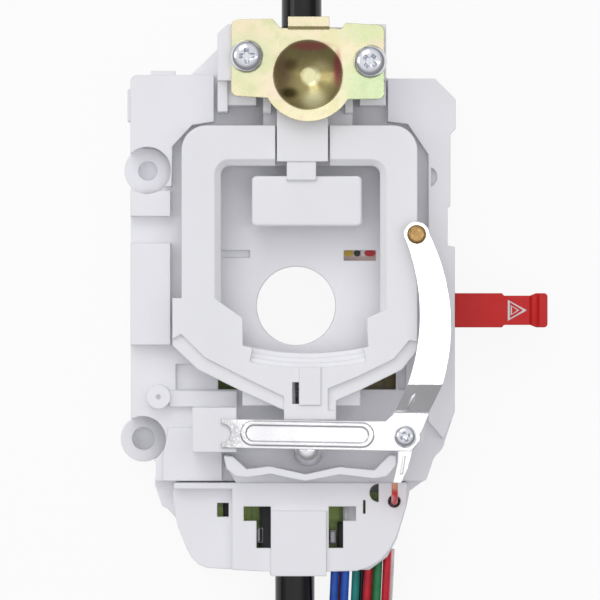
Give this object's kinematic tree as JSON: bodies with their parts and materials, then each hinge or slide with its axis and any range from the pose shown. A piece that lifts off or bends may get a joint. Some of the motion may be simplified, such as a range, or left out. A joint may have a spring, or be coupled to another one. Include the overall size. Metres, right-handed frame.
{
  "type": "combination stalk switch",
  "caption": "Steering column switch: round column bore, swinging turn and light stalk, wiper stalk, pull hazard knob, horn contact and wire harness.",
  "frame": {"origin": "on the steering column's axis at the switch's rear face", "axes": "+Z along the column towards the driver, +Y along the turn stalk, +X along the hazard knob"},
  "size_m": [0.1078, 0.4199, 0.0434],
  "materials": {
    "white_pom": "satin",
    "white_sliding": "satin",
    "black_gloss": "gloss",
    "black_matte": "matte",
    "grey_cover": "matte",
    "red_plastic": "matte",
    "yellow_zinc": "passivated",
    "chrome_screw": "bright",
    "bright_steel": "bright",
    "spring_steel": "drawn",
    "brass": "bright",
    "green_board": "satin",
    "brown_board": "satin",
    "wire_blue": "satin",
    "wire_teal": "satin",
    "wire_red": "satin",
    "wire_maroon": "satin",
    "wire_black": "satin",
    "wire_olive": "satin",
    "wire_green": "satin",
    "wire_white": "satin",
    "tape": "woven"
  },
  "bodies": {
    "housing": {"main_housing": "white_pom", "lower_cover": "white_pom", "rear_cover": "grey_cover", "rear_screws": "chrome_screw", "pivot_bracket": "yellow_zinc", "bracket_screws": "chrome_screw", "retainer_bar": "bright_steel", "horn_terminal": "bright_steel", "bar_screw": "chrome_screw", "horn_lead": "wire_red", "switch_board": "green_board", "contact_board": "brown_board", "wiper_board": "green_board", "dimmer_terminals": "brass", "dimmer_spring": "spring_steel", "hazard_spring": "spring_steel", "wire_blue_1": "wire_blue", "wire_blue_2": "wire_blue", "wire_teal": "wire_teal", "wire_red_1": "wire_red", "wire_red_2": "wire_red", "wire_green": "wire_green", "wire_maroon": "wire_maroon", "wire_black": "wire_black", "wire_olive": "wire_olive", "wire_white": "wire_white", "tape_bands": "tape", "connector_housing": "white_pom", "connector_terminals": "brass"},
    "cradle": {"cradle": "white_sliding", "detent_spring": "spring_steel"},
    "plunger": {"detent_plunger": "bright_steel"},
    "dip_lever": {"dip_lever": "white_sliding", "lever_pin": "bright_steel", "turn_stalk": "black_gloss"},
    "turn_knob": {"turn_knob": "black_matte", "turn_end_cap": "black_gloss"},
    "dimmer": {"dimmer_slider": "white_sliding", "dimmer_contact": "brass"},
    "turn_contact": {"turn_slider": "white_sliding", "turn_contacts": "brass"},
    "horn_arm": {"horn_arm": "bright_steel", "horn_button": "brass"},
    "hazard": {"hazard_knob": "red_plastic", "hazard_slider": "white_sliding"},
    "wiper_carrier": {"wiper_carrier": "white_sliding", "wiper_cross_pin": "bright_steel", "wiper_contacts": "brass"},
    "wiper_lever": {"wiper_lever": "black_matte", "wiper_stalk": "black_gloss"},
    "wiper_knob": {"wiper_knob": "black_matte", "wiper_end_cap": "black_gloss"}
  },
  "joints": [
    {"name": "turn_swing", "type": "hinge", "parent": "housing", "child": "cradle", "pos_m": [0.003, 0.0574, 0.0285], "axis": [0, 0, 1], "range_deg": [-7, 7]},
    {"name": "detent_press", "type": "slide", "parent": "cradle", "child": "plunger", "axis": [0, 1, 0], "range_m": [0, 0.0015], "stiffness_N_per_m": 2000, "springref_m": -0.0015, "deforming": ["detent_spring"]},
    {"name": "dip_tilt", "type": "hinge", "parent": "cradle", "child": "dip_lever", "pos_m": [0.003, 0.0574, 0.0315], "axis": [1, 0, 0], "range_deg": [-4, 5]},
    {"name": "light_twist", "type": "hinge", "parent": "dip_lever", "child": "turn_knob", "pos_m": [0.0014, 0.18, 0.0325], "axis": [0, 1, 0], "range_deg": [0, 60]},
    {"name": "dimmer_slide", "type": "slide", "parent": "housing", "child": "dimmer", "axis": [0, 0, 1], "range_m": [-0.0028, 0.0022], "deforming": ["dimmer_spring"]},
    {"name": "turn_contact_slide", "type": "slide", "parent": "housing", "child": "turn_contact", "axis": [1, 0, 0], "range_m": [-0.0096, 0.0096]},
    {"name": "horn_flex", "type": "hinge", "parent": "housing", "child": "horn_arm", "pos_m": [0.029, -0.0264, 0.0359], "axis": [1, 0, 0], "range_deg": [-3, 0], "stiffness_Nm_per_rad": 0.3},
    {"name": "hazard_pull", "type": "slide", "parent": "housing", "child": "hazard", "axis": [1, 0, 0], "range_m": [0, 0.005], "deforming": ["hazard_spring"]},
    {"name": "wiper_swing", "type": "hinge", "parent": "housing", "child": "wiper_carrier", "pos_m": [-0.0003, -0.057, 0.0095], "axis": [0, 0, 1], "range_deg": [-16, 5]},
    {"name": "washer_pull", "type": "hinge", "parent": "wiper_carrier", "child": "wiper_lever", "pos_m": [-0.0003, -0.054, 0.0095], "axis": [-1, 0, 0], "range_deg": [0, 7], "stiffness_Nm_per_rad": 1.2},
    {"name": "wiper_twist", "type": "hinge", "parent": "wiper_lever", "child": "wiper_knob", "pos_m": [-0.0003, -0.18, 0.0095], "axis": [0, -1, 0], "range_deg": [0, 60]}
  ],
  "couplings": [
    {"joint": "dimmer_slide", "follows": "dip_tilt", "m_per_rad": -0.0314},
    {"joint": "turn_contact_slide", "follows": "turn_swing", "m_per_rad": 0.0759}
  ]
}
